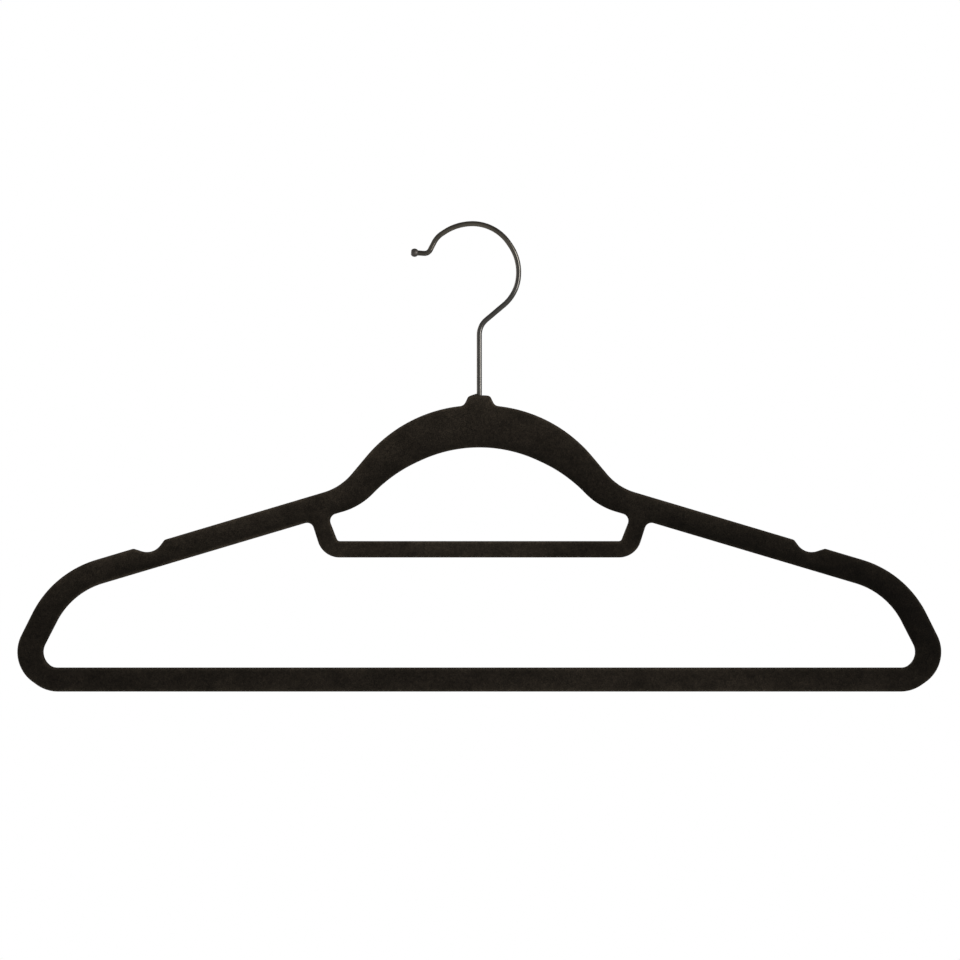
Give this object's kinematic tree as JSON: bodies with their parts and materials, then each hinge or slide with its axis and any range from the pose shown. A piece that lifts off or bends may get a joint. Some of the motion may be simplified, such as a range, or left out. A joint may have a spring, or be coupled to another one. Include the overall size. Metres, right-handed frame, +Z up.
{
  "type": "clothes hanger",
  "caption": "Slim flocked clothes hanger with shoulder notches, tie bar, trouser bar and a turning wire hook with a ball tip.",
  "frame": {"origin": "on the hook's swivel axis, at the middle of the body's thickness, level with the underside of the trouser bar", "axes": "+X along the hanger, the hook's mouth opens towards -X; +Y through its thickness, from front to back; +Z up along the hook's shank"},
  "size_m": [0.45, 0.0078, 0.2293],
  "materials": {
    "core_plastic": "injection-moulded ABS, matt black",
    "flock": "short nylon flock, warm black, velvet feel",
    "hook_metal": "black-nickel plated steel wire",
    "tip_metal": "dark plated steel ball, duller than the wire"
  },
  "bodies": {
    "hanger": {"frame_core": "core_plastic", "flock_cover": "flock"},
    "hook": {"hook_wire": "hook_metal", "hook_tip_ball": "tip_metal"}
  },
  "joints": [
    {"name": "hook_swivel", "type": "hinge", "parent": "hanger", "child": "hook", "pos_m": [0, 0, 0.144], "axis": [0, 0, 1], "continuous": true}
  ]
}
